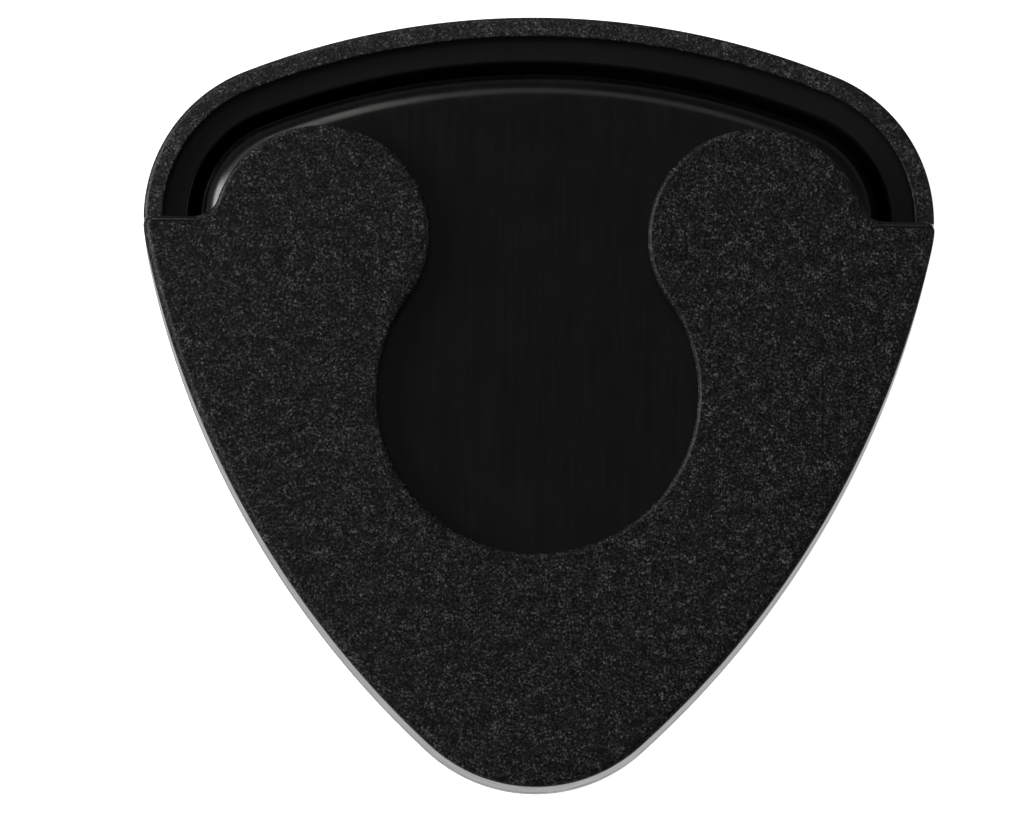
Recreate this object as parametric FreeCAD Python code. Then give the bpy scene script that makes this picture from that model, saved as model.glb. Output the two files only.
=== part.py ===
"""Spring-loaded plectrum holder with an adhesive back.

A rounded triangle, point down, moulded as two shells that snap together.  Plectrums lie flat on
a sprung platform under the front cover, and a thumb in the window slides the top one out over the
low rim at the wide end.  Millimetres.  +X is to the right, +Y towards the wide end, where the
plectrums leave, and +Z out of the front face.  The origin is the centre of the back, on the
release liner's outer face.
"""

import FreeCAD
import Part

import math
import os

V = FreeCAD.Vector
UP = V(0, 0, 1)

# ---- outline of the front face: tangent arcs, mirrored about X = 0 --------------------------
CORNER_X = 10.72         # centre of each rounded shoulder
CORNER_Y = 8.23
R_CORNER = 6.95
R_TOP = 35.7             # the long arc across the wide end
R_SIDE = 42.3            # the two bowed sides
R_TIP = 6.9              # the point

# ---- heights --------------------------------------------------------------------------------
LINER = 0.10             # release liner
FILM = 0.06              # each film of adhesive
FOAM = 0.88
PAD_RECESS = 0.20        # how far the pad sits into the back of the shell
FLOOR = 0.80             # wall between the pad and the cavity
CASE = 7.10              # the two shells together
COVER = 1.20             # wall of the front cover's face
EXIT_SLOT = 1.00         # height over the rim, room for one plectrum
LEDGE_DROP = 0.90        # from the rim down to the ledge inside it
SEAM_ABOVE_BACK = 1.70   # parting line round the sides
LIP_HEIGHT = 1.40        # the rear shell's locating lip, above the parting line

# ---- walls, measured inwards from the front face's outline ------------------------------------
DRAFT = 0.050            # the outside widens by this much for each millimetre down
RIM_WIDTH = 0.76
SKIRT = 1.20             # inside of the cover's skirt
LIP_GAP = 0.05           # between the skirt and the lip
CAVITY = 1.88            # inside of the rear shell's wall
PLATFORM_GAP = 0.57      # between that wall and the platform
PAD_INSET = 1.30
PAD_GAP = 0.10           # between the pad and the edge of its recess
LINER_INSET = 0.90       # the liner overhangs the pad, so that it can be peeled
SKIRT_GAP = 0.08         # between the skirt's lower edge and the rear shell

# ---- rounded edges ----------------------------------------------------------------------------
FACE_ROUND = 0.35        # outer edge of the front face
RIM_ROUND = 0.22
RIM_INNER_ROUND = 0.06   # edge of the step down from the rim to the ledge
LEDGE_ROUND = 0.22
BACK_ROUND = 0.30
WINDOW_ROUND = 0.20      # edges of the window and the tabs
PLATFORM_ROUND = 1.30

# ---- thumb window: a round hole that opens upwards between two round tabs -----------------------
SEAM_Y = 8.15            # the rim's ends
SEAM_GAP = 0.12          # between them and the cover
WINDOW_Y = 0.23
R_WINDOW = 7.15
TAB_X = 9.73
R_TAB = 4.86
R_TAB_ROOT = 1.1         # hollow corner between a tab and the cover's straight edge

# ---- snap ribs that hold the cover down ---------------------------------------------------------
SNAP_LENGTH = 3.2
SNAP_RADIUS = 0.28
SNAP_GAP = 0.05
SNAP_PLACES = (0.25, 0.70)   # shares of each side's arc, from the shoulder to the point

# ---- platform -----------------------------------------------------------------------------------
PLATFORM_DROP = 0.05     # its top below the cover, at rest
PLATE = 1.10
HEM = 1.70               # full height of the platform's edge
HEM_WALL = 0.80
RIB_COUNT = 8
RIB_WIDTH = 0.55
RIB_DEPTH = 0.40
RIB_START = 6.7          # distance of the ribs' inner ends from the centre

# ---- conical spring and what holds its two ends -----------------------------------------------------
WIRE = 0.45
R_SPRING_LOW = 5.0
R_SPRING_HIGH = 2.3
SPRING_TURNS = 5.0
END_TURNS = 0.85         # turns that lie flat at each end
SPRING_END_GAP = 0.02
SPRING_SIDE_GAP = 0.20
SEAT_WALL = 0.70
SEAT_HEIGHT = 0.50
BOSS_HEIGHT = 0.60
BOSS_BORE = 0.90         # radius of the hollow in the boss

# ---- marks that moulding leaves inside --------------------------------------------------------------
PIN_MARK_R = 0.80
PIN_MARK_DEPTH = 0.05
PIN_MARKS = ((-9.5, 9.0), (9.5, 9.0), (0.0, -11.2), (-7.3, -3.3), (7.3, -3.3))

REACH = 40.0             # longer than the object: for cutting tools
BITE = 0.1               # overlap of two shapes that are fused

Z_PAD_TOP = LINER + 2 * FILM + FOAM
Z_BACK = Z_PAD_TOP - PAD_RECESS
Z_FLOOR = Z_PAD_TOP + FLOOR
Z_FACE = Z_BACK + CASE
Z_COVER = Z_FACE - COVER
Z_RIM = Z_COVER - EXIT_SLOT
Z_LEDGE = Z_RIM - LEDGE_DROP
Z_SEAM = Z_BACK + SEAM_ABOVE_BACK
Z_LIP = Z_SEAM + LIP_HEIGHT
Z_PLATFORM = Z_COVER - PLATFORM_DROP
Z_PLATE_UNDER = Z_PLATFORM - PLATE
PLATFORM_INSET = CAVITY + PLATFORM_GAP
COVER_END_Y = SEAM_Y - SEAM_GAP


# ---- plan geometry ------------------------------------------------------------------------------
def towards(p, q):
    """Unit vector from p to q."""
    reach = math.hypot(q[0] - p[0], q[1] - p[1])
    return ((q[0] - p[0]) / reach, (q[1] - p[1]) / reach)


def mirrored(p):
    return (-p[0], p[1])


def leftmost_meeting(p, rp, q, rq):
    """Of the two points where two circles meet, the one with the lower X."""
    apart = math.hypot(q[0] - p[0], q[1] - p[1])
    ux, uy = towards(p, q)
    along = (rp * rp - rq * rq + apart * apart) / (2 * apart)
    off = math.sqrt(rp * rp - along * along)
    return min((p[0] + along * ux - side * off * uy, p[1] + along * uy + side * off * ux) for side in (1, -1))


CORNER_C = (CORNER_X, CORNER_Y)
TOP_C = (0.0, CORNER_Y - math.sqrt((R_TOP - R_CORNER) ** 2 - CORNER_X ** 2))
TIP_C = (0.0, R_TIP - (TOP_C[1] + R_TOP))    # the point is as far from the origin as the top is
SIDE_C = leftmost_meeting(CORNER_C, R_SIDE - R_CORNER, TIP_C, R_SIDE - R_TIP)
WINDOW_C = (0.0, WINDOW_Y)
TAB_C = (TAB_X, WINDOW_Y + math.sqrt((R_WINDOW + R_TAB) ** 2 - TAB_X ** 2))
ROOT_Y = COVER_END_Y + R_TAB_ROOT
ROOT_C = (TAB_X + math.sqrt((R_TAB + R_TAB_ROOT) ** 2 - (ROOT_Y - TAB_C[1]) ** 2), ROOT_Y)


def arc(centre, radius, start, end, z):
    """Arc edge from the direction start to the direction end, by the shorter way."""
    first = math.atan2(start[1], start[0])
    turn = math.atan2(end[1], end[0]) - first
    turn = (turn + math.pi) % (2 * math.pi) - math.pi
    angles = (first, first + turn / 2, first + turn)
    return Part.Arc(*(V(centre[0] + radius * math.cos(a), centre[1] + radius * math.sin(a), z)
                      for a in angles)).toShape()


def line(p, q, z):
    return Part.makeLine(V(p[0], p[1], z), V(q[0], q[1], z))


def outline(inset, z):
    """The case's outline as a closed wire, inset from the front face's own."""
    to_shoulder = towards(TOP_C, CORNER_C)
    to_side = towards(SIDE_C, CORNER_C)
    to_tip = towards(SIDE_C, TIP_C)
    return Part.Wire([
        arc(TOP_C, R_TOP - inset, mirrored(to_shoulder), to_shoulder, z),
        arc(CORNER_C, R_CORNER - inset, to_shoulder, to_side, z),
        arc(SIDE_C, R_SIDE - inset, to_side, to_tip, z),
        arc(TIP_C, R_TIP - inset, to_tip, mirrored(to_tip), z),
        arc(mirrored(SIDE_C), R_SIDE - inset, mirrored(to_tip), mirrored(to_side), z),
        arc(mirrored(CORNER_C), R_CORNER - inset, mirrored(to_side), mirrored(to_shoulder), z),
    ])


# ---- solids that the sub-parts are cut from ---------------------------------------------------------
def prism(inset, z0, z1):
    """Straight-sided solid of the outline."""
    return Part.Face(outline(inset, z0)).extrude(UP * (z1 - z0))


def drafted(z0, z1):
    """Solid of the outline whose sides follow the case's draft."""
    wires = [outline(-(Z_FACE - z) * DRAFT, z) for z in (z0, z1)]
    return Part.makeLoft(wires, True, True)


def tipward(y, z0, z1):
    """Everything on the point's side of a line across the case."""
    return Part.makeBox(2 * REACH, REACH + y, z1 - z0, V(-REACH, -REACH, z0))


def cylinder(radius, z0, z1, x=0.0, y=0.0):
    return Part.makeCylinder(radius, z1 - z0, V(x, y, z0))


def tube(outer, inner, z0, z1):
    return cylinder(outer, z0, z1).cut(cylinder(inner, z0, z1))


def level_edges(solid, z):
    """Edges that lie flat at the height z."""
    tiny = 1e-4
    return [e for e in solid.Edges if abs(e.BoundBox.ZMin - z) < tiny and abs(e.BoundBox.ZMax - z) < tiny]


def rim_side(edges, inset):
    """Those edges that follow the outline, at that inset, round the rim."""
    tiny = 0.01
    wanted = outline(inset, 0.0)
    found = []
    for edge in edges:
        middle = edge.valueAt((edge.FirstParameter + edge.LastParameter) / 2)
        off = wanted.distToShape(Part.Vertex(middle.x, middle.y, 0.0))[0]
        if off < tiny and middle.y > SEAM_Y + tiny:
            found.append(edge)
    return found


def one_solid(shape):
    shape = shape.removeSplitter()
    if len(shape.Solids) != 1:
        raise ValueError(f"expected one solid, not {len(shape.Solids)}")
    return shape.Solids[0]


# ---- the snaps between the two shells -----------------------------------------------------------------
def snap_places():
    """(point on the skirt's inner face, outward direction) of each snap."""
    shoulder, tip = (math.atan2(c[1] - SIDE_C[1], c[0] - SIDE_C[0]) for c in (CORNER_C, TIP_C))
    places = []
    for share in SNAP_PLACES:
        a = shoulder + share * (tip - shoulder)
        out = (math.cos(a), math.sin(a))
        point = (SIDE_C[0] + (R_SIDE - SKIRT) * out[0], SIDE_C[1] + (R_SIDE - SKIRT) * out[1])
        places += [(point, out), (mirrored(point), mirrored(out))]
    return places


def snap_rib(place, grow=0.0):
    """Round rib that lies along the skirt's inner face, half way up the lip."""
    (x, y), (out_x, out_y) = place
    length = SNAP_LENGTH + 2 * grow
    along = V(-out_y, out_x, 0)
    start = V(x, y, (Z_SEAM + Z_LIP) / 2) - along * (length / 2)
    return Part.makeCylinder(SNAP_RADIUS + grow, length, start, along)


# ---- sub-parts ----------------------------------------------------------------------------------------
def rear_shell():
    """Tray: back, low side walls with a locating lip, and the stepped rim at the wide end."""
    shell = drafted(Z_BACK, Z_RIM)
    shell = shell.makeFillet(RIM_ROUND, level_edges(shell, Z_RIM))
    shell = shell.makeFillet(BACK_ROUND, level_edges(shell, Z_BACK))
    shell = shell.cut(tipward(SEAM_Y, Z_SEAM, REACH))
    lip = prism(SKIRT + LIP_GAP, Z_FLOOR, Z_LIP)
    shell = shell.fuse(lip.common(tipward(SEAM_Y + BITE, Z_FLOOR, Z_LIP)))
    step = prism(RIM_WIDTH, Z_LEDGE, Z_RIM)
    cavity = prism(CAVITY, Z_FLOOR, Z_LEDGE)
    shell = shell.cut(step).cut(cavity)
    shell = shell.makeFillet(RIM_INNER_ROUND, rim_side(level_edges(shell, Z_RIM), RIM_WIDTH))
    shell = shell.makeFillet(LEDGE_ROUND, rim_side(level_edges(shell, Z_LEDGE), CAVITY))
    shell = shell.cut(prism(PAD_INSET - PAD_GAP, 0.0, Z_PAD_TOP))
    for place in snap_places():
        shell = shell.cut(snap_rib(place, SNAP_GAP))
    seat_bore = R_SPRING_LOW + WIRE / 2 + SPRING_SIDE_GAP
    shell = shell.fuse(tube(seat_bore + SEAT_WALL, seat_bore, Z_FLOOR - BITE, Z_FLOOR + SEAT_HEIGHT))
    for x, y in PIN_MARKS:
        shell = shell.cut(cylinder(PIN_MARK_R, Z_FLOOR - PIN_MARK_DEPTH, Z_COVER, x, y))
    return one_solid(shell)


def cover_plan():
    """Solid over everything that the cover spans: its straight ends, its tabs and the window's edge."""
    z = Z_BACK
    tab_to_window = towards(TAB_C, WINDOW_C)
    tab_to_root = towards(TAB_C, ROOT_C)
    north, south = (0.0, 1.0), (0.0, -1.0)
    right = [
        line((REACH, COVER_END_Y), (ROOT_C[0], COVER_END_Y), z),
        arc(ROOT_C, R_TAB_ROOT, south, towards(ROOT_C, TAB_C), z),
        arc(TAB_C, R_TAB, tab_to_root, north, z),
        arc(TAB_C, R_TAB, north, tab_to_window, z),
        arc(WINDOW_C, R_WINDOW, towards(WINDOW_C, TAB_C), south, z),
    ]
    left = [
        arc(WINDOW_C, R_WINDOW, south, mirrored(towards(WINDOW_C, TAB_C)), z),
        arc(mirrored(TAB_C), R_TAB, mirrored(tab_to_window), north, z),
        arc(mirrored(TAB_C), R_TAB, north, mirrored(tab_to_root), z),
        arc(mirrored(ROOT_C), R_TAB_ROOT, mirrored(towards(ROOT_C, TAB_C)), south, z),
        line((-ROOT_C[0], COVER_END_Y), (-REACH, COVER_END_Y), z),
    ]
    far_side = [
        line((-REACH, COVER_END_Y), (-REACH, -REACH), z),
        line((-REACH, -REACH), (REACH, -REACH), z),
        line((REACH, -REACH), (REACH, COVER_END_Y), z),
    ]
    return Part.Face(Part.Wire(right + left + far_side)).extrude(UP * 2 * CASE)


def is_inner_edge(edge):
    """True for the edges of the straight ends, tabs and window; false for the case's outline."""
    tiny = 0.01
    middle = edge.valueAt((edge.FirstParameter + edge.LastParameter) / 2)
    at_window = math.hypot(middle.x, middle.y - WINDOW_Y) < R_WINDOW + tiny
    at_tab = math.hypot(abs(middle.x) - TAB_X, middle.y - TAB_C[1]) < R_TAB + tiny
    return at_window or at_tab or middle.y > COVER_END_Y - tiny


def front_cover():
    """Cap: face with the thumb window and two tabs, and a skirt that snaps over the lip."""
    cover = drafted(Z_SEAM + SKIRT_GAP, Z_FACE)
    cover = cover.makeFillet(FACE_ROUND, level_edges(cover, Z_FACE))
    cover = cover.cut(prism(SKIRT, Z_BACK, Z_COVER))
    cover = cover.common(cover_plan())
    cover = cover.makeFillet(WINDOW_ROUND, [e for e in level_edges(cover, Z_FACE) if is_inner_edge(e)])
    for place in snap_places():
        cover = cover.fuse(snap_rib(place).common(prism(SKIRT - BITE, Z_SEAM, Z_COVER)))
    return one_solid(cover)


def pick_platform():
    """Plate under the plectrums: rounded over at its edge, hemmed and ribbed below."""
    plate = prism(PLATFORM_INSET, Z_PLATFORM - HEM, Z_PLATFORM)
    plate = plate.makeFillet(PLATFORM_ROUND, level_edges(plate, Z_PLATFORM))
    plate = plate.cut(prism(PLATFORM_INSET + HEM_WALL, Z_PLATFORM - HEM, Z_PLATE_UNDER))
    boss_r = R_SPRING_HIGH - WIRE / 2 - SPRING_SIDE_GAP
    plate = plate.fuse(tube(boss_r, BOSS_BORE, Z_PLATE_UNDER - BOSS_HEIGHT, Z_PLATE_UNDER + BITE))
    rib_room = prism(PLATFORM_INSET + HEM_WALL / 2, Z_PLATE_UNDER - RIB_DEPTH, Z_PLATE_UNDER + BITE)
    for k in range(RIB_COUNT):
        rib = Part.makeBox(REACH, RIB_WIDTH, CASE, V(RIB_START, -RIB_WIDTH / 2, 0))
        rib.rotate(V(0, 0, 0), UP, 360.0 * (k + 0.5) / RIB_COUNT)
        plate = plate.fuse(rib.common(rib_room))
    return one_solid(plate)


def spring_point(turn):
    """Centre of the wire, that many turns from the large end."""
    low = Z_FLOOR + SPRING_END_GAP + WIRE / 2
    high = Z_PLATE_UNDER - SPRING_END_GAP - WIRE / 2
    share = (turn - END_TURNS) / (SPRING_TURNS - 2 * END_TURNS)
    share = min(1.0, max(0.0, share))
    radius = R_SPRING_LOW + (R_SPRING_HIGH - R_SPRING_LOW) * turn / SPRING_TURNS
    angle = 2 * math.pi * turn
    return V(radius * math.cos(angle), radius * math.sin(angle), low + (high - low) * share)


def platform_spring():
    """Conical coil whose turns nest, so that it closes to little more than its wire."""
    steps = int(SPRING_TURNS * 16)
    centre_line = Part.BSplineCurve()
    centre_line.interpolate([spring_point(SPRING_TURNS * k / steps) for k in range(steps + 1)])
    path = centre_line.toShape()
    start = spring_point(0.0)
    section = Part.Wire(Part.makeCircle(WIRE / 2, start, path.tangentAt(path.FirstParameter)))
    sweep = Part.BRepOffsetAPI.MakePipeShell(Part.Wire(path))
    sweep.setFrenetMode(True)
    sweep.add(section)
    sweep.build()
    sweep.makeSolid()
    return Part.Solid(sweep.shape())


def sub_parts():
    z_foam = LINER + FILM
    return {
        "rear_shell": rear_shell(),
        "front_cover": front_cover(),
        "pick_platform": pick_platform(),
        "platform_spring": platform_spring(),
        "adhesive_film_inner": prism(PAD_INSET, z_foam + FOAM, Z_PAD_TOP),
        "foam_pad": prism(PAD_INSET, z_foam, z_foam + FOAM),
        "adhesive_film_outer": prism(PAD_INSET, LINER, z_foam),
        "release_liner": prism(LINER_INSET, 0.0, LINER),
    }


os.makedirs("parts", exist_ok=True)
for name, shape in sub_parts().items():
    if not shape.isValid():
        raise ValueError(f"{name} isn't a valid solid")
    shape.exportStep(f"parts/{name}.step")
    box = shape.optimalBoundingBox()
    print(f"{name}: {shape.Volume:.2f} mm3, {box.XLength:.2f} x {box.YLength:.2f}, "
          f"z {box.ZMin:.2f} to {box.ZMax:.2f}")
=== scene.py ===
"""Looks of the stick-on pick holder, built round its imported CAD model.

Lengths are written in millimetres and multiplied by MM.  The heights come from the CAD frame, and the
plan of the case is drawn from the same tangent arcs as the CAD parts.
"""

import math

import bmesh
import bpy
import numpy as np
from mathutils import Matrix, Vector


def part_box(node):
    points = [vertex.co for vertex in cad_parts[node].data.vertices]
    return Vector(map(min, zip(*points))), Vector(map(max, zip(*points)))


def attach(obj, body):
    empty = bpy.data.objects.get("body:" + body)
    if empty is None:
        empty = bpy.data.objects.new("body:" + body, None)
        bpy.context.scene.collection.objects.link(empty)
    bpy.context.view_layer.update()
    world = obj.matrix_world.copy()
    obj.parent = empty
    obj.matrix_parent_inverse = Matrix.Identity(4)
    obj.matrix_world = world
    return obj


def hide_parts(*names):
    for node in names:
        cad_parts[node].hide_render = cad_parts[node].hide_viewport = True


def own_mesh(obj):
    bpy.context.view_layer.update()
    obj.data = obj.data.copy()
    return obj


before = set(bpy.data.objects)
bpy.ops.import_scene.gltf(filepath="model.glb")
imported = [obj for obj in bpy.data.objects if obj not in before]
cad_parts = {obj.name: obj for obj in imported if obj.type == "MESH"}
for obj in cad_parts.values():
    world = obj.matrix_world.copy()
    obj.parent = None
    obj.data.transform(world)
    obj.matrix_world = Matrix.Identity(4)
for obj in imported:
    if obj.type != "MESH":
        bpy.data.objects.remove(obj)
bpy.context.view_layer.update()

MM = 0.001

# ---- heights, from the frame ---------------------------------------------------------------------
SHELL_LOW, SHELL_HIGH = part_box("rear_shell")
COVER_LOW, COVER_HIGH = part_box("front_cover")
PLATE_LOW, PLATE_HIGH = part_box("pick_platform")

Z_BACK = SHELL_LOW.z / MM
Z_RIM = SHELL_HIGH.z / MM
Z_FACE = COVER_HIGH.z / MM
Z_SKIRT = COVER_LOW.z / MM
Z_PLATFORM = PLATE_HIGH.z / MM
Z_HEM = PLATE_LOW.z / MM
Z_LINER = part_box("release_liner")[1].z / MM
Z_OUTER_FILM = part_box("adhesive_film_outer")[1].z / MM
Z_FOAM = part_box("foam_pad")[1].z / MM
Z_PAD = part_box("adhesive_film_inner")[1].z / MM

# ---- heights that follow from those --------------------------------------------------------------
COVER = 1.20             # wall of the front cover's face
LEDGE_DROP = 0.90        # from the rim down to the ledge inside it
SKIRT_GAP = 0.08         # between the skirt's lower edge and the rear shell
LIP_HEIGHT = 1.40        # the rear shell's locating lip, above the parting line
FLOOR = 0.80             # wall between the pad and the cavity
PLATE = 1.10
Z_COVER = Z_FACE - COVER
Z_LEDGE = Z_RIM - LEDGE_DROP
Z_SEAM = Z_SKIRT - SKIRT_GAP
Z_LIP = Z_SEAM + LIP_HEIGHT
Z_FLOOR = Z_PAD + FLOOR
Z_PLATE_UNDER = Z_PLATFORM - PLATE

# ---- plan of the case: tangent arcs, as in the CAD -----------------------------------------------
CORNER_C = np.array((10.72, 8.23))   # centre of the right shoulder
R_CORNER = 6.95
R_TOP = 35.7             # the long arc across the wide end
R_SIDE = 42.3            # the two bowed sides
R_TIP = 6.9              # the point
DRAFT = 0.050            # the outside widens by this much for each millimetre down
SEAM_Y = 8.15            # the rim's ends
COVER_END_Y = 8.03       # the cover's straight ends
WINDOW_C = np.array((0.0, 0.23))
R_WINDOW = 7.15
TAB_X = 9.73
R_TAB = 4.86
R_TAB_ROOT = 1.1         # hollow corner between a tab and the cover's straight end

# ---- walls, measured inwards from the front face's outline ---------------------------------------
RIM_WIDTH = 0.76
SKIRT = 1.20             # inside of the cover's skirt
LIP = 1.25               # outside of the locating lip
CAVITY = 1.88            # inside of the rear shell's wall
PLATFORM_INSET = 2.45
PAD_INSET = 1.30
RECESS_INSET = 1.20      # the pocket in the back that holds the pad
LINER_INSET = 0.90
HEM_WALL = 0.80          # thickness of the platform's edge

# ---- rounded edges -------------------------------------------------------------------------------
FACE_ROUND = 0.35        # outer edge of the front face
END_ROUND = 0.25         # the cover's straight ends
WINDOW_ROUND = 0.20      # edges of the window and the tabs
COVER_CORNER = 0.42      # upright edge where a side meets a straight end
RIM_ROUND = 0.22
RIM_INNER_ROUND = 0.06   # edge of the step down from the rim to the ledge
LEDGE_ROUND = 0.22
BACK_ROUND = 0.30
SEAM_ROUND = 0.06
CAVITY_ROUND = 0.25      # hollow corner round the cavity's floor
LIP_ROUND = 0.12
PLATFORM_ROUND = 1.30
HEM_ROUND = 0.06         # lower edge of the platform
SUPPORT = 0.04           # narrow flat band beside a rounded edge, which keeps the flat's shading flat

# ---- conical spring and what holds its two ends --------------------------------------------------
WIRE = 0.45
R_SPRING_LOW = 5.0
R_SPRING_HIGH = 2.3
SPRING_TURNS = 5.0
END_TURNS = 0.85         # turns that lie flat at each end
SPRING_END_GAP = 0.02
SEAT_BORE = 5.425        # radius inside the round wall on the shell's floor
SEAT_WALL = 0.70
SEAT_HEIGHT = 0.50
BOSS_R = 1.875
BOSS_HEIGHT = 0.60
BOSS_BORE = 0.90         # radius of the hollow in the boss

# ---- how finely the surfaces are divided ---------------------------------------------------------
STEP = 0.22              # spacing of the columns along an outline
FINE_STEP = 0.06         # and round the smallest arcs
FACE_RINGS = 8           # divisions of the rounded edges
PLATFORM_RINGS = 16
RIM_RINGS = 6
LEDGE_RINGS = 5
SMALL_RINGS = 3
WELD = 0.0005            # points nearer than this are one
SHARP_EDGE = 32          # degrees; edges that turn more are shaded sharp
SHARP_WIRE = 60

TEXTURED, SMOOTH = 0, 1  # order of the two finishes on a moulding
SOUTH = -math.pi / 2
NORTH = math.pi / 2
MIRROR = np.array((-1.0, 1.0))


# ---- plan geometry -------------------------------------------------------------------------------
def towards(p, q):
    """Unit vector from p to q."""
    return (q - p) / np.linalg.norm(q - p)


def leftmost_meeting(p, rp, q, rq):
    """Of the two points where two circles meet, the one with the lower X."""
    apart = np.linalg.norm(q - p)
    ux, uy = towards(p, q)
    along = (rp * rp - rq * rq + apart * apart) / (2 * apart)
    off = math.sqrt(rp * rp - along * along)
    return np.array(min((p[0] + along * ux - side * off * uy, p[1] + along * uy + side * off * ux)
                        for side in (1, -1)))


def direction(p, q):
    """Angle of q as seen from p."""
    return math.atan2(q[1] - p[1], q[0] - p[0])


TOP_C = np.array((0.0, CORNER_C[1] - math.sqrt((R_TOP - R_CORNER) ** 2 - CORNER_C[0] ** 2)))
TIP_C = np.array((0.0, R_TIP - (TOP_C[1] + R_TOP)))
SIDE_C = leftmost_meeting(CORNER_C, R_SIDE - R_CORNER, TIP_C, R_SIDE - R_TIP)
TAB_C = np.array((TAB_X, WINDOW_C[1] + math.sqrt((R_WINDOW + R_TAB) ** 2 - TAB_X ** 2)))
ROOT_Y = COVER_END_Y + R_TAB_ROOT
ROOT_C = np.array((TAB_X + math.sqrt((R_TAB + R_TAB_ROOT) ** 2 - (ROOT_Y - TAB_C[1]) ** 2), ROOT_Y))


def arc(centre, radius, start, end, step=STEP, side=1):
    """Points along an arc and the outward normals there; side -1 is a hollow arc."""
    count = max(2, math.ceil(abs(end - start) * radius / step))
    a = np.linspace(start, end, count + 1)
    away = np.stack((np.cos(a), np.sin(a)), axis=1)
    return centre + radius * away, side * away


def joined(*stretches):
    """Stretches of outline end to end, each as (points, normals), without the shared points."""
    points = np.concatenate([s[0][:-1] for s in stretches[:-1]] + [stretches[-1][0]])
    normals = np.concatenate([s[1][:-1] for s in stretches[:-1]] + [stretches[-1][1]])
    return points, normals


def doubled(values, flip=1.0):
    """Values along a half outline that starts and ends on the mid-line, then its mirror half's."""
    return np.concatenate((values, (values * flip)[::-1][1:-1]))


def case_outline():
    """The closed outline, from the point round by the right, as (points, normals)."""
    stretches = (
        arc(TIP_C, R_TIP, SOUTH, direction(SIDE_C, TIP_C)),
        arc(SIDE_C, R_SIDE, direction(SIDE_C, TIP_C), direction(SIDE_C, CORNER_C)),
        arc(CORNER_C, R_CORNER, direction(SIDE_C, CORNER_C), direction(TOP_C, CORNER_C)),
        arc(TOP_C, R_TOP, direction(TOP_C, CORNER_C), NORTH),
    )
    return tuple(doubled(v, MIRROR) for v in joined(*stretches))


# ---- skins: closed surfaces made of rings --------------------------------------------------------
class Skin:
    """Gathers the rings, strips and caps of one moulding, in millimetres."""

    def __init__(self):
        self.points = []
        self.faces = []
        self.finishes = []

    def ring(self, plan, z):
        """One point for each row of the plan, at the height z or at a height of its own."""
        first = len(self.points)
        heights = np.broadcast_to(z, len(plan))
        self.points += [(x, y, h) for (x, y), h in zip(plan, heights)]
        return list(range(first, len(self.points)))

    def strip(self, a, b, finish, closed=True):
        """Quads between two rings; the finish is one number, or one for each column."""
        count = len(a) if closed else len(a) - 1
        for i, column_finish in enumerate(np.broadcast_to(finish, count)):
            j = (i + 1) % len(a)
            self.face((a[i], a[j], b[j], b[i]), int(column_finish))

    def strips(self, rings, finish, closed=True):
        for a, b in zip(rings, rings[1:]):
            self.strip(a, b, finish, closed)

    def face(self, corners, finish):
        self.faces.append(tuple(corners))
        self.finishes.append(finish)

    def piece(self, name, materials, body, replaced, sharp=SHARP_EDGE):
        """Welds the skin into an object that rides on its body."""
        mesh = bpy.data.meshes.new(name)
        mesh.from_pydata([Vector(p) * MM for p in self.points], [], self.faces)
        mesh.polygons.foreach_set("material_index", self.finishes)
        shell = bmesh.new()
        shell.from_mesh(mesh)
        bmesh.ops.remove_doubles(shell, verts=shell.verts, dist=WELD * MM)
        bmesh.ops.dissolve_degenerate(shell, edges=shell.edges, dist=WELD * MM)
        bmesh.ops.recalc_face_normals(shell, faces=shell.faces)
        open_edges = sum(len(e.link_faces) != 2 for e in shell.edges)
        if open_edges:
            print(f"{name}: {open_edges} edges aren't shared by two faces")
        shell.to_mesh(mesh)
        shell.free()
        mesh.polygons.foreach_set("use_smooth", [True] * len(mesh.polygons))
        mesh.set_sharp_from_angle(angle=math.radians(sharp))
        made = bpy.data.objects.new(name, mesh)
        bpy.context.scene.collection.objects.link(made)
        for material in materials:
            mesh.materials.append(material)
        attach(made, body)
        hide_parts(replaced)
        return made


def quarter(count):
    """Pairs (cos, sin) from an upright wall to a level top."""
    return [(math.cos(t), math.sin(t)) for t in np.linspace(0, math.pi / 2, count + 1)]


def disc(radius, like):
    """A circle whose points lie in the directions of another ring's points."""
    a = np.arctan2(like[:, 1], like[:, 0])
    return radius * np.stack((np.cos(a), np.sin(a)), axis=1)


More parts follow.
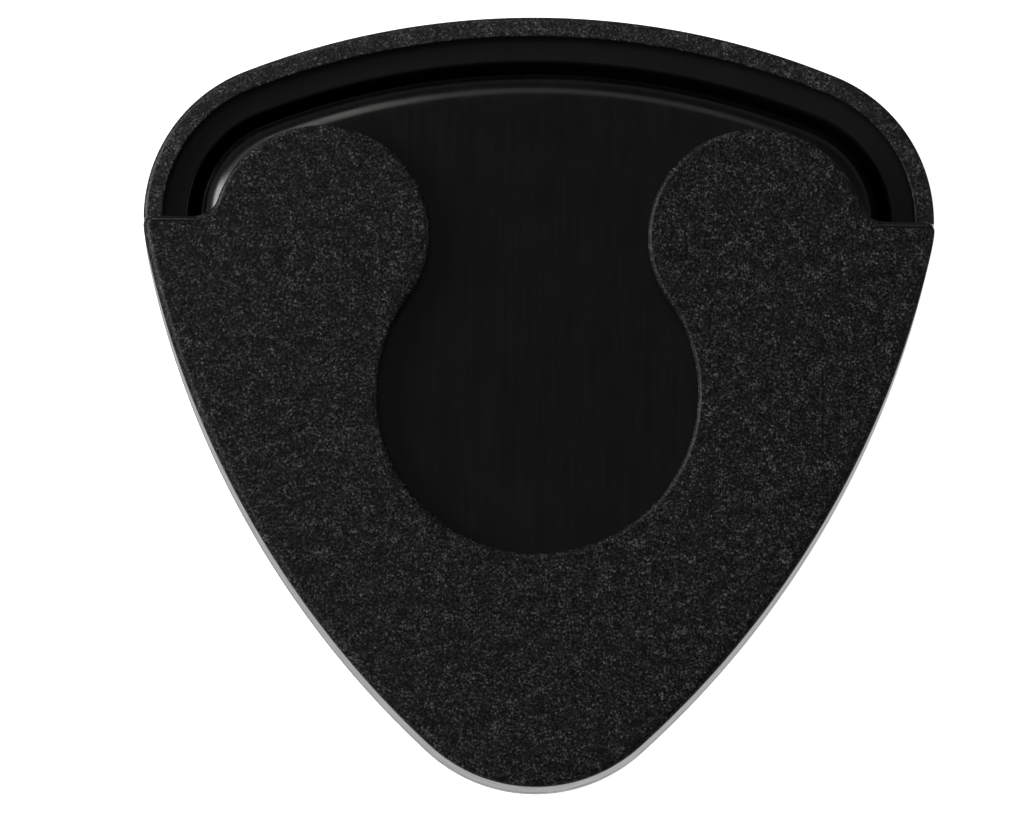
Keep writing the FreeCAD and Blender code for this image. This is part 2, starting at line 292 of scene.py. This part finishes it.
# ---- front cover ---------------------------------------------------------------------------------
def cover_outline():
    """Half of the cover's outline, from the point to the window's lowest point.

    For each column: its point and normal, which way it leans with the draft, the radius of its upper
    edge, how much of the parting line's small round it has, and, for the skirt's columns, its place
    on the skirt's inside.  The last value is the number of the skirt's columns.
    """
    reach = R_CORNER - COVER_CORNER
    drop = COVER_END_Y - COVER_CORNER - CORNER_C[1]
    corner_c = CORNER_C + np.array((math.sqrt(reach ** 2 - drop ** 2), drop))
    turn = direction(CORNER_C, corner_c)
    inner_end = math.asin((COVER_END_Y - CORNER_C[1]) / (R_CORNER - SKIRT))
    skirt_end = np.array((CORNER_C[0] + (R_CORNER - SKIRT) * math.cos(inner_end), COVER_END_Y))
    north = np.array((0.0, 1.0))

    def straight(start_x, end_x):
        count = max(2, math.ceil(abs(start_x - end_x) / STEP))
        xs = np.linspace(start_x, end_x, count + 1)
        return np.stack((xs, np.full_like(xs, COVER_END_Y)), axis=1), np.tile(north, (count + 1, 1))

    sides = joined(
        arc(TIP_C, R_TIP, SOUTH, direction(SIDE_C, TIP_C)),
        arc(SIDE_C, R_SIDE, direction(SIDE_C, TIP_C), direction(SIDE_C, CORNER_C)),
        arc(CORNER_C, R_CORNER, direction(SIDE_C, CORNER_C), turn, FINE_STEP),
    )
    corner = arc(corner_c, COVER_CORNER, turn, NORTH, FINE_STEP)
    end = straight(corner_c[0], skirt_end[0])
    inner_edge = joined(
        straight(skirt_end[0], ROOT_C[0]),
        arc(ROOT_C, R_TAB_ROOT, SOUTH, direction(ROOT_C, TAB_C), FINE_STEP, side=-1),
        arc(TAB_C, R_TAB, direction(TAB_C, ROOT_C), direction(TAB_C, WINDOW_C) + 2 * math.pi, STEP / 2),
        arc(WINDOW_C, R_WINDOW, direction(WINDOW_C, TAB_C), SOUTH, STEP / 2, side=-1),
    )
    points, normals = joined(sides, corner, end, inner_edge)
    on_sides, on_corner, on_end = len(sides[0]) - 1, len(corner[0]) - 1, len(end[0]) - 1
    skirt_columns = on_sides + on_corner + on_end + 1
    share = np.linspace(0, 1, on_corner, endpoint=False)
    fall = 1 - np.linspace(0, 1, on_end + 1)
    lean = np.zeros_like(points)
    lean[:on_sides] = normals[:on_sides]
    lean[on_sides:on_sides + on_corner] = np.stack(
        (np.full(on_corner, math.cos(turn)), math.sin(turn) * (1 - share)), axis=1)
    lean[on_sides + on_corner:skirt_columns, 0] = fall
    seam_break = np.zeros(len(points))
    seam_break[:on_sides] = 1
    seam_break[on_sides:on_sides + on_corner] = 1 - share
    inner = points[:skirt_columns] - SKIRT * normals[:skirt_columns]
    inner_angles = turn + share * (inner_end - turn)
    inner[on_sides:on_sides + on_corner] = CORNER_C + (R_CORNER - SKIRT) * np.stack(
        (np.cos(inner_angles), np.sin(inner_angles)), axis=1)
    inner[on_sides + on_corner:] = skirt_end
    path = np.concatenate(((0,), np.cumsum(np.linalg.norm(np.diff(points, axis=0), axis=1))))
    end_start = path[on_sides + on_corner]
    root = path[np.argmin(np.linalg.norm(points - (ROOT_C - R_TAB_ROOT * north), axis=1))]
    edge = np.interp(path, (end_start - COVER_CORNER, end_start, root, root + 2 * R_TAB_ROOT),
                     (FACE_ROUND, END_ROUND, END_ROUND, WINDOW_ROUND))
    return points, normals, lean, edge, seam_break, inner, skirt_columns


def front_cover(materials):
    """The cap: a face with its window and round tabs, smooth straight ends, and a skirt."""
    points, normals, lean, edge, seam_break, inner, skirt_columns = cover_outline()
    points, normals, lean = (doubled(v, MIRROR) for v in (points, normals, lean))
    edge, seam_break = (doubled(v) for v in (edge, seam_break))
    inner = np.concatenate(((inner[1:] * MIRROR)[::-1], inner))
    count = len(points)
    skin = Skin()

    def plan(inset, z):
        drop = np.reshape(Z_FACE - z, (-1, 1))
        return points - normals * np.reshape(inset, (-1, 1)) + lean * (DRAFT * drop)

    rounded = [skin.ring(plan(edge * (1 - c), Z_FACE - edge * (1 - s)), Z_FACE - edge * (1 - s))
               for c, s in quarter(FACE_RINGS)]
    flat = skin.ring(plan(edge + SUPPORT, Z_FACE), Z_FACE)
    skin.face(flat, TEXTURED)
    skin.strips(rounded + [flat], np.where(np.isclose(edge, END_ROUND), SMOOTH, TEXTURED))

    skirt = [i % count for i in range(count - skirt_columns + 1, count + skirt_columns)]
    opening = list(range(skirt_columns - 1, count - skirt_columns + 2))
    under = plan(0.0, Z_COVER)
    opening_foot = skin.ring(under[opening], Z_COVER)
    skin.strip([rounded[0][i] for i in opening], opening_foot, SMOOTH, closed=False)

    seam_edge = SEAM_ROUND * seam_break
    sides = [
        [rounded[0][i] for i in skirt],
        skin.ring(under[skirt], Z_COVER),
        skin.ring(plan(0.0, Z_SKIRT + seam_edge)[skirt], (Z_SKIRT + seam_edge)[skirt]),
        skin.ring(plan(seam_edge, Z_SKIRT)[skirt], Z_SKIRT),
    ]
    inside = [
        skin.ring(inner, Z_SKIRT),
        skin.ring(inner, (Z_SKIRT + seam_edge)[skirt]),
        skin.ring(inner, Z_COVER),
    ]
    skin.strips(sides, SMOOTH, closed=False)
    skin.strips([sides[-1]] + inside, SMOOTH, closed=False)
    skin.face(inside[-1] + opening_foot[1:-1], SMOOTH)
    skin.piece("cover_moulding", materials, "holder", "front_cover")


# ---- rear shell ----------------------------------------------------------------------------------
def seam_place(inset):
    """Where the case's outline, inset, meets the line of the rim's ends, on the right."""
    return CORNER_C[0] + math.sqrt((R_CORNER - inset) ** 2 - (SEAM_Y - CORNER_C[1]) ** 2)


class ShellPlan:
    """The case's outline in two runs that meet at the rim's ends: low sides, then the rim."""

    def __init__(self):
        turn = math.asin((SEAM_Y - CORNER_C[1]) / R_CORNER)
        shoulder = direction(SIDE_C, CORNER_C)
        half_low = joined(
            arc(TIP_C, R_TIP, SOUTH, direction(SIDE_C, TIP_C)),
            arc(SIDE_C, R_SIDE, direction(SIDE_C, TIP_C), shoulder),
            arc(CORNER_C, R_CORNER, shoulder, turn),
        )
        half_rim = joined(
            arc(CORNER_C, R_CORNER, turn, direction(TOP_C, CORNER_C)),
            arc(TOP_C, R_TOP, direction(TOP_C, CORNER_C), NORTH),
        )
        self.low = tuple(np.concatenate(((v * MIRROR)[::-1], v[1:])) for v in half_low)
        self.rim = tuple(np.concatenate((v, (v * MIRROR)[::-1][1:])) for v in half_rim)

    def run(self, which, inset):
        """One run's points, inset, with its two ends kept on the line of the rim's ends."""
        points, normals = self.low if which == "low" else self.rim
        plan = points - inset * normals
        sign = -1.0 if which == "low" else 1.0
        plan[0] = (sign * seam_place(inset), SEAM_Y)
        plan[-1] = (-sign * seam_place(inset), SEAM_Y)
        return plan

    def whole(self, inset):
        return np.concatenate((self.run("low", inset), self.run("rim", inset)[1:-1]))


def outside(z):
    """Inset of the rear shell's outer face at a height: negative, because the sides lean outwards."""
    return -(Z_FACE - z) * DRAFT


def rear_shell(materials):
    """The tray: a back with the pad's pocket, low sides with the locating lip, and the stepped rim."""
    plan = ShellPlan()
    skin = Skin()
    low_count = len(plan.low[0])

    def whole(inset, z):
        return skin.ring(plan.whole(inset), z)

    def run(which, inset, z):
        return skin.ring(plan.run(which, inset), z)

    def of_whole(ring, which):
        return ring[:low_count] if which == "low" else ring[low_count - 1:] + [ring[0]]

    low_arris = Z_BACK + BACK_ROUND
    back = [whole(outside(low_arris) + BACK_ROUND * (1 - c), low_arris - BACK_ROUND * s)
            for c, s in quarter(RIM_RINGS)]
    foot = whole(outside(Z_SEAM - SEAM_ROUND), Z_SEAM - SEAM_ROUND)
    skin.strips([foot] + back, SMOOTH)
    recess = [whole(RECESS_INSET, Z_BACK), whole(RECESS_INSET, Z_PAD)]
    skin.strips([back[-1]] + recess, SMOOTH)
    skin.face(recess[-1], SMOOTH)

    inner = whole(CAVITY, Z_FLOOR + CAVITY_ROUND)
    hollow = [whole(CAVITY + CAVITY_ROUND * (1 - c), Z_FLOOR + CAVITY_ROUND * (1 - s))
              for c, s in quarter(SMALL_RINGS)[1:]]
    like = plan.whole(0)
    seat = [
        skin.ring(disc(SEAT_BORE + SEAT_WALL, like), Z_FLOOR),
        skin.ring(disc(SEAT_BORE + SEAT_WALL, like), Z_FLOOR + SEAT_HEIGHT),
        skin.ring(disc(SEAT_BORE, like), Z_FLOOR + SEAT_HEIGHT),
        skin.ring(disc(SEAT_BORE, like), Z_FLOOR),
    ]
    skin.strips([inner] + hollow + seat, SMOOTH)
    skin.face(seat[-1], SMOOTH)

    low = [
        of_whole(foot, "low"),
        run("low", outside(Z_SEAM) + SEAM_ROUND, Z_SEAM),
        run("low", LIP, Z_SEAM),
        run("low", LIP, Z_LIP - LIP_ROUND),
        run("low", LIP + LIP_ROUND, Z_LIP),
        run("low", CAVITY, Z_LIP),
        of_whole(inner, "low"),
    ]
    skin.strips(low, SMOOTH, closed=False)

    arris = Z_RIM - RIM_ROUND
    brow = [run("rim", outside(arris) + RIM_ROUND * (1 - c), arris + RIM_ROUND * s)
            for c, s in quarter(RIM_RINGS)]
    crown = [
        run("rim", outside(arris) + RIM_ROUND + SUPPORT, Z_RIM),
        run("rim", RIM_WIDTH - RIM_INNER_ROUND - SUPPORT / 2, Z_RIM),
    ]
    brink = [run("rim", RIM_WIDTH - RIM_INNER_ROUND * (1 - s), Z_RIM - RIM_INNER_ROUND * (1 - c))
             for c, s in quarter(SMALL_RINGS)]
    shelf = [
        run("rim", RIM_WIDTH, Z_LEDGE),
        run("rim", CAVITY - LEDGE_ROUND - SUPPORT, Z_LEDGE),
    ]
    ledge = [run("rim", CAVITY - LEDGE_ROUND * (1 - s), Z_LEDGE - LEDGE_ROUND * (1 - c))
             for c, s in quarter(LEDGE_RINGS)]
    rim = [of_whole(foot, "rim")] + brow + crown + brink + shelf + ledge + [of_whole(inner, "rim")]
    outer = 1 + len(brow) + len(crown) + len(brink)
    skin.strips(rim[:outer], TEXTURED, closed=False)
    skin.strips(rim[outer - 1:], SMOOTH, closed=False)
    for rim_end, low_end in ((0, -1), (-1, 0)):
        skin.face([r[rim_end] for r in rim] + [r[low_end] for r in low[-2:0:-1]], SMOOTH)
    skin.piece("shell_moulding", materials, "holder", "rear_shell")


# ---- platform ------------------------------------------------------------------------------------
def pick_platform(material):
    """The plate that the picks lie on, with its rounded edge, its hem and the spring's boss."""
    points, normals = case_outline()
    skin = Skin()

    def ring(inset, z):
        return skin.ring(points - inset * normals, z)

    edge = [ring(PLATFORM_INSET + PLATFORM_ROUND * (1 - c), Z_PLATFORM - PLATFORM_ROUND * (1 - s))
            for c, s in quarter(PLATFORM_RINGS)]
    top = ring(PLATFORM_INSET + PLATFORM_ROUND + SUPPORT, Z_PLATFORM)
    hem = [ring(PLATFORM_INSET + HEM_ROUND, Z_HEM), ring(PLATFORM_INSET, Z_HEM + HEM_ROUND)]
    skin.strips(hem + edge + [top], 0)
    skin.face(top, 0)

    low_boss = Z_PLATE_UNDER - BOSS_HEIGHT
    under = [
        ring(PLATFORM_INSET + HEM_WALL, Z_HEM),
        ring(PLATFORM_INSET + HEM_WALL, Z_PLATE_UNDER),
        skin.ring(disc(BOSS_R, points), Z_PLATE_UNDER),
        skin.ring(disc(BOSS_R, points), low_boss),
        skin.ring(disc(BOSS_BORE, points), low_boss),
        skin.ring(disc(BOSS_BORE, points), Z_PLATE_UNDER),
    ]
    skin.strips([hem[0]] + under, 0)
    skin.face(under[-1], 0)
    skin.piece("platform_moulding", [material], "platform", "pick_platform")


# ---- spring --------------------------------------------------------------------------------------
def platform_spring(material):
    """Conical coil of round wire with closed ends, built at one length; this mesh doesn't shorten as
    the platform is pushed down.
    """
    per_turn, around = 40, 12
    turn = np.linspace(0, SPRING_TURNS, int(SPRING_TURNS * per_turn) + 1)
    low = Z_FLOOR + SPRING_END_GAP + WIRE / 2
    high = Z_PLATE_UNDER - SPRING_END_GAP - WIRE / 2
    rise = np.clip((turn - END_TURNS) / (SPRING_TURNS - 2 * END_TURNS), 0, 1)
    radius = R_SPRING_LOW + (R_SPRING_HIGH - R_SPRING_LOW) * turn / SPRING_TURNS
    angle = 2 * math.pi * turn
    tilt = np.linspace(0, 2 * math.pi, around, endpoint=False)
    skin = Skin()
    rings = []
    for a, r, h in zip(angle, radius, low + (high - low) * rise):
        out = r + WIRE / 2 * np.cos(tilt)
        plan = np.stack((out * math.cos(a), out * math.sin(a)), axis=1)
        rings.append(skin.ring(plan, h + WIRE / 2 * np.sin(tilt)))
    skin.strips(rings, 0)
    for end in (rings[0], rings[-1]):
        skin.face(end, 0)
    spring = skin.piece("coil_spring", [material], "holder", "platform_spring",
                        sharp=SHARP_WIRE)
    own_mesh(spring)


# ---- mounting pad --------------------------------------------------------------------------------
# waves round a cut edge: (how many, how high against the first, how far each level turns them)
CUT_WAVES = ((137, 1.0, 5), (211, 0.7, 11), (47, 0.5, 3))


def layer(name, inset, z0, z1, material, replaced, wobble=0.0, bulge=0.0, levels=1):
    """A die-cut layer: the case's outline, inset, with a cut edge that may swell and be rough."""
    points, normals = case_outline()
    way = np.linspace(0, 2 * math.pi, len(points), endpoint=False)
    skin = Skin()
    rings = []
    for k in range(levels + 1):
        share = k / levels
        swell = bulge * math.sin(math.pi * share)
        waves = sum(height * np.sin(many * way + turned * k) for many, height, turned in CUT_WAVES)
        rough = wobble * math.sin(math.pi * share) * waves
        plan = points - (inset - swell + rough)[:, None] * normals
        rings.append(skin.ring(plan, z0 + (z1 - z0) * share))
    skin.strips(rings, 0)
    skin.face(rings[0], 0)
    skin.face(rings[-1], 0)
    return skin.piece(name, [material], "holder", replaced)


# ---- materials -----------------------------------------------------------------------------------
NOISE_SPAN = (0.3, 0.7)  # most of a noise's values lie between these


def fill_ramp(ramp, stops):
    """Gives a colour ramp its stops, each a position and a linear colour."""
    while len(ramp.elements) < len(stops):
        ramp.elements.new(0.5)
    for element, (position, rgb) in zip(ramp.elements, stops):
        element.position = position
        element.color = (*rgb, 1.0)


def grey(value):
    """Linear red, green and blue of a grey."""
    return (value, value, value)


class Nodes:
    """A procedural material, with its texture coordinates in millimetres."""

    def __init__(self, name):
        self.material = bpy.data.materials.new(name)
        self.material.use_nodes = True
        self.tree = self.material.node_tree
        self.shader = self.tree.nodes["Principled BSDF"]
        place = self.add("ShaderNodeTexCoord")
        self.mm = self.add("ShaderNodeVectorMath", operation="SCALE")
        self.link(place.outputs["Object"], self.mm.inputs[0])
        self.mm.inputs["Scale"].default_value = 1 / MM

    def add(self, kind, **settings):
        node = self.tree.nodes.new(kind)
        for key, value in settings.items():
            setattr(node, key, value)
        return node

    def link(self, a, b):
        self.tree.links.new(a, b)

    def set(self, **values):
        for name, value in values.items():
            self.shader.inputs[name.replace("_", " ")].default_value = value

    def noise(self, per_mm, detail=2.0, roughness=0.5, stretch=None):
        """Soft noise; stretch multiplies its frequency along X, Y and Z."""
        node = self.add("ShaderNodeTexNoise")
        node.inputs["Scale"].default_value = per_mm
        node.inputs["Detail"].default_value = detail
        node.inputs["Roughness"].default_value = roughness
        source = self.mm.outputs["Vector"]
        if stretch:
            squeeze = self.add("ShaderNodeVectorMath", operation="MULTIPLY")
            squeeze.inputs[1].default_value = stretch
            self.link(source, squeeze.inputs[0])
            source = squeeze.outputs["Vector"]
        self.link(source, node.inputs["Vector"])
        return node.outputs["Fac"]

    def cells(self, per_mm):
        """Scattered points: the node whose outputs tell a place's nearest one."""
        node = self.add("ShaderNodeTexVoronoi")
        node.inputs["Scale"].default_value = per_mm
        self.link(self.mm.outputs["Vector"], node.inputs["Vector"])
        return node

    def specks(self, per_mm):
        """Distance from the nearest of many scattered points, and a number drawn for each of them."""
        node = self.cells(per_mm)
        drawn = self.add("ShaderNodeSeparateColor")
        self.link(node.outputs["Color"], drawn.inputs["Color"])
        return node.outputs["Distance"], drawn.outputs["Red"]

    def product(self, a, b):
        node = self.add("ShaderNodeMath", operation="MULTIPLY")
        self.link(a, node.inputs[0])
        self.link(b, node.inputs[1])
        return node.outputs["Value"]

    def range(self, value, from_span, to_span):
        """The value stretched from one span to another, and held within it."""
        node = self.add("ShaderNodeMapRange")
        self.link(value, node.inputs["Value"])
        for key, number in zip(("From Min", "From Max", "To Min", "To Max"), (*from_span, *to_span)):
            node.inputs[key].default_value = number
        return node.outputs["Result"]

    def sum(self, a, b, share=1.0):
        """a plus share times b."""
        node = self.add("ShaderNodeMath", operation="MULTIPLY_ADD")
        self.link(b, node.inputs[0])
        node.inputs[1].default_value = share
        self.link(a, node.inputs[2])
        return node.outputs["Value"]

    def colour(self, value, stops):
        """Base colour that runs through the stops, (value, linear red, green and blue) each."""
        node = self.add("ShaderNodeValToRGB")
        fill_ramp(node.color_ramp, stops)
        self.link(value, node.inputs["Fac"])
        self.link(node.outputs["Color"], self.shader.inputs["Base Color"])

    def roughness(self, value, low, high):
        self.link(self.range(value, NOISE_SPAN, (low, high)), self.shader.inputs["Roughness"])

    def bump(self, height, depth_mm):
        node = self.add("ShaderNodeBump")
        node.inputs["Strength"].default_value = 1.0
        node.inputs["Distance"].default_value = depth_mm * MM
        self.link(height, node.inputs["Height"])
        self.link(node.outputs["Normal"], self.shader.inputs["Normal"])


def textured_plastic(name, grains_per_mm, brightest, shine):
    """Black ABS from a spark-eroded mould: crowded fine grains, the palest of them painted glints."""
    # the ramp's bright end is painted highlight: glints of the lamps painted into the base colour
    dark, usual, bright = (0.0010, 0.0011, 0.0010), (0.16, 0.165, 0.16), (1.0, 1.02, 1.0)
    m = Nodes(name)
    near, chance = m.specks(grains_per_mm)
    round_grain = m.range(near, (0.70, 0.10), (0.0, 1.0))
    painted_glint = m.range(chance, (0.10, 1.0), (0.1, 0.8))
    fine = m.noise(grains_per_mm * 1.1, detail=3.0, roughness=0.75)
    flecks = m.range(fine, (0.45, 0.72), (0.0, 0.9))
    clumps = m.range(m.noise(1.5, detail=3.0, roughness=0.6), (0.35, 0.65), (0.50, 1.0))
    m.colour(m.product(m.sum(m.product(round_grain, painted_glint), flecks), clumps), (
        (0.05, dark), (0.40, [brightest * v for v in usual]), (1.00, [brightest * v for v in bright])))
    m.roughness(m.noise(2.3), low=0.36, high=0.46)
    m.set(Specular_IOR_Level=shine)
    m.bump(m.sum(fine, near, share=0.5), depth_mm=0.015)
    return m.material


def moulded_plastic():
    """The same black ABS where the mould was smooth."""
    m = Nodes("moulded_black")
    m.colour(m.noise(0.5, detail=3.0), ((0.3, grey(0.0040)), (0.7, grey(0.0055))))
    m.roughness(m.noise(0.9, detail=3.0), low=0.16, high=0.24)
    m.bump(m.noise(2.6, detail=4.0, roughness=0.65), depth_mm=0.006)
    return m.material


def polished_plastic():
    """The platform's polished black ABS, with hairlines from the picks."""
    m = Nodes("polished_black")
    hairlines = m.noise(2.0, detail=3.0, roughness=0.55, stretch=(3.0, 0.12, 1.0))
    m.colour(m.sum(hairlines, m.noise(0.3, detail=3.0), share=0.3), (
        (0.50, (0.0016, 0.0016, 0.0017)), (0.85, (0.0036, 0.0036, 0.0037))))
    m.roughness(m.noise(0.6, detail=4.0, roughness=0.6), low=0.17, high=0.25)
    m.bump(m.sum(hairlines, m.noise(0.10, detail=1.0), share=2.0), depth_mm=0.0015)
    return m.material


def spring_wire():
    """Bright drawn steel."""
    m = Nodes("spring_steel")
    m.set(Metallic=1.0)
    m.colour(m.noise(0.8, detail=4.0), ((0.3, (0.42, 0.42, 0.41)), (0.7, (0.60, 0.60, 0.59))))
    m.roughness(m.noise(4.0, detail=3.0), low=0.24, high=0.40)
    m.bump(m.noise(9.0), depth_mm=0.004)
    return m.material


def foam():
    """White closed-cell foam: round cells cut through at the edge."""
    m = Nodes("white_foam")
    near = m.cells(5.5).outputs["Distance"]
    # darker towards each cell's middle, where the bump makes a pit: painted shade in the cut cells
    m.colour(near, ((0.15, (0.52, 0.52, 0.50)), (0.55, (0.80, 0.80, 0.78))))
    m.roughness(m.noise(3.0), low=0.80, high=0.95)
    m.bump(near, depth_mm=0.10)
    return m.material


def adhesive():
    """Acrylic adhesive, slightly yellow."""
    m = Nodes("clear_adhesive")
    m.colour(m.noise(0.7, detail=3.0), ((0.3, (0.70, 0.69, 0.62)), (0.7, (0.80, 0.79, 0.74))))
    m.roughness(m.noise(1.5), low=0.12, high=0.28)
    m.bump(m.noise(1.1, detail=3.0), depth_mm=0.008)
    return m.material


def liner_paper():
    """Siliconised paper, with its fibres."""
    m = Nodes("liner_paper")
    fibres = m.noise(3.0, detail=5.0, roughness=0.65)
    m.colour(fibres, ((0.25, (0.74, 0.72, 0.65)), (0.75, (0.86, 0.85, 0.80))))
    m.roughness(m.noise(0.8, detail=3.0), low=0.34, high=0.50)
    m.bump(fibres, depth_mm=0.006)
    return m.material


# ---- the object ----------------------------------------------------------------------------------
smooth_black = moulded_plastic()
cover_black = textured_plastic("cover_black", grains_per_mm=8.5, brightest=0.120, shine=0.18)
# the shell's grains are brighter than the cover's (0.145 against 0.120): painted light, for the
# stronger light from the back on the rim
shell_black_painted_lighter = textured_plastic("shell_black_painted_lighter", grains_per_mm=9.5, brightest=0.145, shine=0.30)
front_cover((cover_black, smooth_black))
rear_shell((shell_black_painted_lighter, smooth_black))
pick_platform(polished_plastic())
platform_spring(spring_wire())
film = adhesive()
layer("adhesive_inner", PAD_INSET, Z_FOAM, Z_PAD, film, "adhesive_film_inner")
layer("adhesive_outer", PAD_INSET, Z_LINER, Z_OUTER_FILM, film, "adhesive_film_outer")
pad = layer("foam_core", PAD_INSET, Z_OUTER_FILM, Z_FOAM, foam(), "foam_pad",
            wobble=0.012, bulge=0.05, levels=6)
layer("peel_off_liner", LINER_INSET, 0.0, Z_LINER, liner_paper(), "release_liner")


# ---- studio --------------------------------------------------------------------------------------
SENSOR_WIDTH = 36.0
NEAR_CLIP = 0.01         # metres
FLOOR_SIZE = 3000.0
FLOOR_GREY = 0.80
FLOOR_ROUGHNESS = 0.9
FLOOR_GLOW = 0.94        # the floor's own light, which makes it as white as the background
WHITE = (1.0, 1.0, 1.0)
WARM = (1.0, 0.97, 0.92)
COOL = (0.95, 0.97, 1.0)
# grey of the room, from straight below (0) through the horizon (0.5) to straight above (1)
ROOM = ((0.06, 0.72), (0.22, 0.12), (0.52, 0.12), (0.62, 0.05), (0.97, 0.11))


def view_axes(azimuth, elevation, roll):
    """Right, up and back of a camera, turned about its own line of sight by roll."""
    a, e, r = (math.radians(v) for v in (azimuth, elevation, roll))
    back = Vector((math.sin(a) * math.cos(e), -math.cos(a) * math.cos(e), math.sin(e)))
    level = Vector((math.cos(a), math.sin(a), 0.0))
    upright = back.cross(level)
    right = level * math.cos(r) + upright * math.sin(r)
    return right, back.cross(right), back


def camera(azimuth, elevation, roll, distance, width, aim):
    """A camera at a distance from the point aim, where its picture is so wide."""
    right, up, back = view_axes(azimuth, elevation, roll)
    data = bpy.data.cameras.new("camera")
    data.sensor_width = SENSOR_WIDTH
    data.lens = data.sensor_width * distance / width
    data.clip_start = NEAR_CLIP
    made = bpy.data.objects.new("camera", data)
    made.matrix_world = Matrix((right, up, back)).transposed().to_4x4()
    made.location = (Vector(aim) + back * distance) * MM
    bpy.context.scene.collection.objects.link(made)
    bpy.context.scene.camera = made


def softbox(name, place, size, radiance, colour=WHITE):
    """A flat light that faces the object and whose brightness is given as its radiance."""
    data = bpy.data.lights.new(name, "AREA")
    data.shape = "RECTANGLE"
    data.size, data.size_y = (v * MM for v in size)
    data.energy = radiance * math.pi * data.size * data.size_y
    data.color = colour
    made = bpy.data.objects.new(name, data)
    made.location = Vector(place) * MM
    made.rotation_euler = Vector(place).to_track_quat("Z", "Y").to_euler()
    bpy.context.scene.collection.objects.link(made)


def floor():
    """A pale floor under the object, left out of the black plastic's reflections."""
    mesh = bpy.data.meshes.new("floor")
    half = FLOOR_SIZE / 2 * MM
    corners = [(-half, -half, 0), (half, -half, 0), (half, half, 0), (-half, half, 0)]
    mesh.from_pydata(corners, [], [(0, 1, 2, 3)])
    made = bpy.data.objects.new("floor", mesh)
    bpy.context.scene.collection.objects.link(made)
    paper = Nodes("floor_paper")
    paper.set(Base_Color=(*grey(FLOOR_GREY), 1.0), Roughness=FLOOR_ROUGHNESS,
              Emission_Color=(*WHITE, 1.0), Emission_Strength=FLOOR_GLOW)
    mesh.materials.append(paper.material)
    made.visible_glossy = False


def surroundings():
    """A dim room, brightest straight below, where the case's sides mirror the lit floor."""
    world = bpy.data.worlds.new("studio")
    bpy.context.scene.world = world
    world.use_nodes = True
    nodes, links = world.node_tree.nodes, world.node_tree.links
    towards_sky = nodes.new("ShaderNodeTexCoord")
    parts = nodes.new("ShaderNodeSeparateXYZ")
    height = nodes.new("ShaderNodeMapRange")
    height.inputs["From Min"].default_value = -1.0
    ramp = nodes.new("ShaderNodeValToRGB")
    fill_ramp(ramp.color_ramp, [(position, grey(value)) for position, value in ROOM])
    links.new(towards_sky.outputs["Generated"], parts.inputs[0])
    links.new(parts.outputs["Z"], height.inputs["Value"])
    links.new(height.outputs["Result"], ramp.inputs["Fac"])
    links.new(ramp.outputs["Color"], nodes["Background"].inputs["Color"])


camera(azimuth=0, elevation=86.1, roll=0.50, distance=250.0, width=45.09, aim=(-1.357, -0.595, Z_FACE))
floor()
surroundings()
softbox("left_softbox", (-400, 85, 290), size=(250, 290), radiance=11.0, colour=COOL)
softbox("back_softbox", (15, 200, 190), size=(130, 90), radiance=0.5, colour=WARM)
softbox("back_left_softbox", (-150, 200, 190), size=(220, 90), radiance=0.8, colour=WARM)
softbox("back_glint", (-66, 195, 180), size=(40, 120), radiance=2.0, colour=WARM)
softbox("right_softbox", (430, 10, 250), size=(60, 200), radiance=5.0)
bpy.context.scene.view_settings.view_transform = "Standard"
